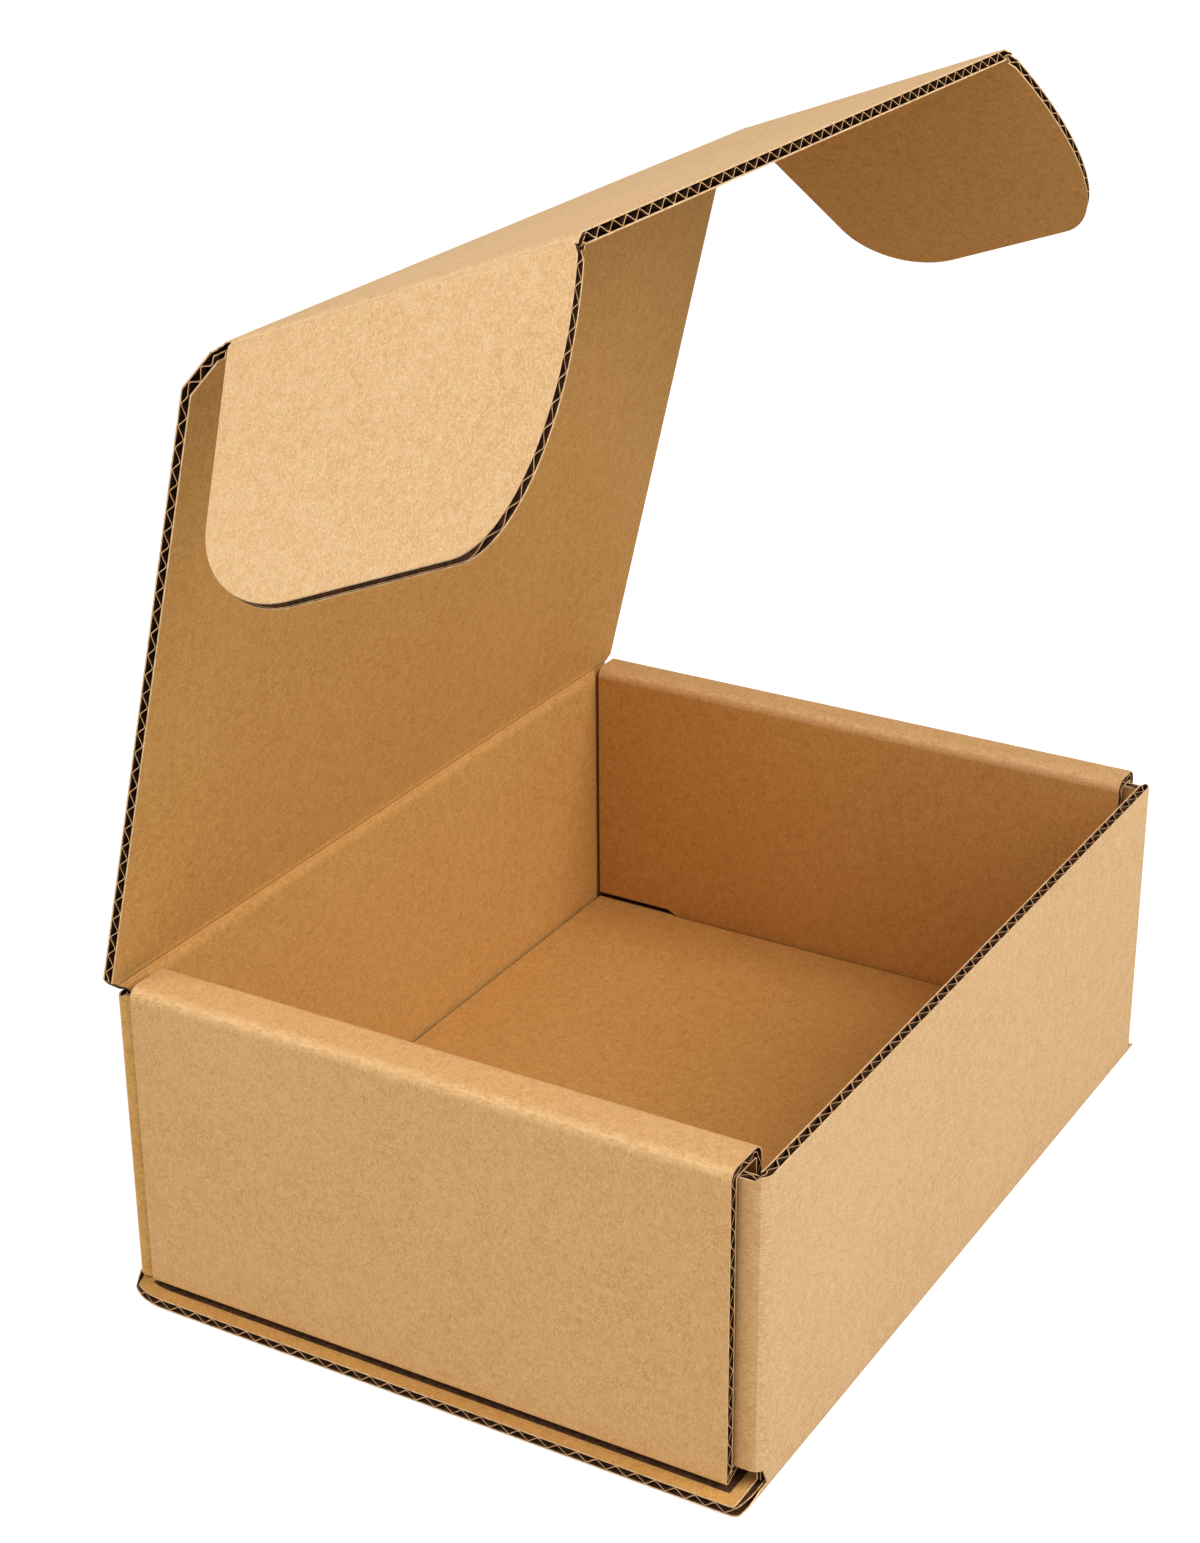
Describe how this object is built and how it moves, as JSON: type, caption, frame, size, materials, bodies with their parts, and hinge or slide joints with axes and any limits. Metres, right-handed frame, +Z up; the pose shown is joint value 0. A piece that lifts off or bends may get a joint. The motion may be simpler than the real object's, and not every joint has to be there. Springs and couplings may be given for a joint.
{
  "type": "corrugated mailer box",
  "caption": "Kraft corrugated mailer box with rolled side walls and a hinged lid whose tuck flap and ears fold in front",
  "frame": {"origin": "middle of the base, on the surface the box stands on", "axes": "+X to the right of someone facing the front wall, +Y from the front wall to the lid's hinge, +Z up"},
  "size_m": [0.3911, 0.2174, 0.3464],
  "materials": {
    "kraft_board": "matte",
    "kraft_board_inner": "matte"
  },
  "bodies": {
    "tray": {"outer_wrap": "kraft_board", "inner_tray": "kraft_board_inner"},
    "lid": {"lid_panel": "kraft_board"},
    "flap": {"tuck_flap": "kraft_board"},
    "ear_left": {"left_ear": "kraft_board"},
    "ear_right": {"right_ear": "kraft_board"}
  },
  "joints": [
    {"name": "lid_hinge", "type": "hinge", "parent": "tray", "child": "lid", "pos_m": [0, 0.107, 0.105], "axis": [-1, 0, 0], "range_deg": [-39, 100]},
    {"name": "flap_hinge", "type": "hinge", "parent": "lid", "child": "flap", "pos_m": [0, 0.05212, 0.30679], "axis": [1, 0, 0], "range_deg": [-26, 34]},
    {"name": "left_ear_hinge", "type": "hinge", "parent": "flap", "child": "ear_left", "pos_m": [-0.1435, 0.05212, 0.30679], "axis": [0.1309, -0.9255, 0.3553], "range_deg": [-46, 43]},
    {"name": "right_ear_hinge", "type": "hinge", "parent": "flap", "child": "ear_right", "pos_m": [0.1435, 0.05212, 0.30679], "axis": [0.1309, 0.9255, -0.3553], "range_deg": [-50, 39]}
  ]
}
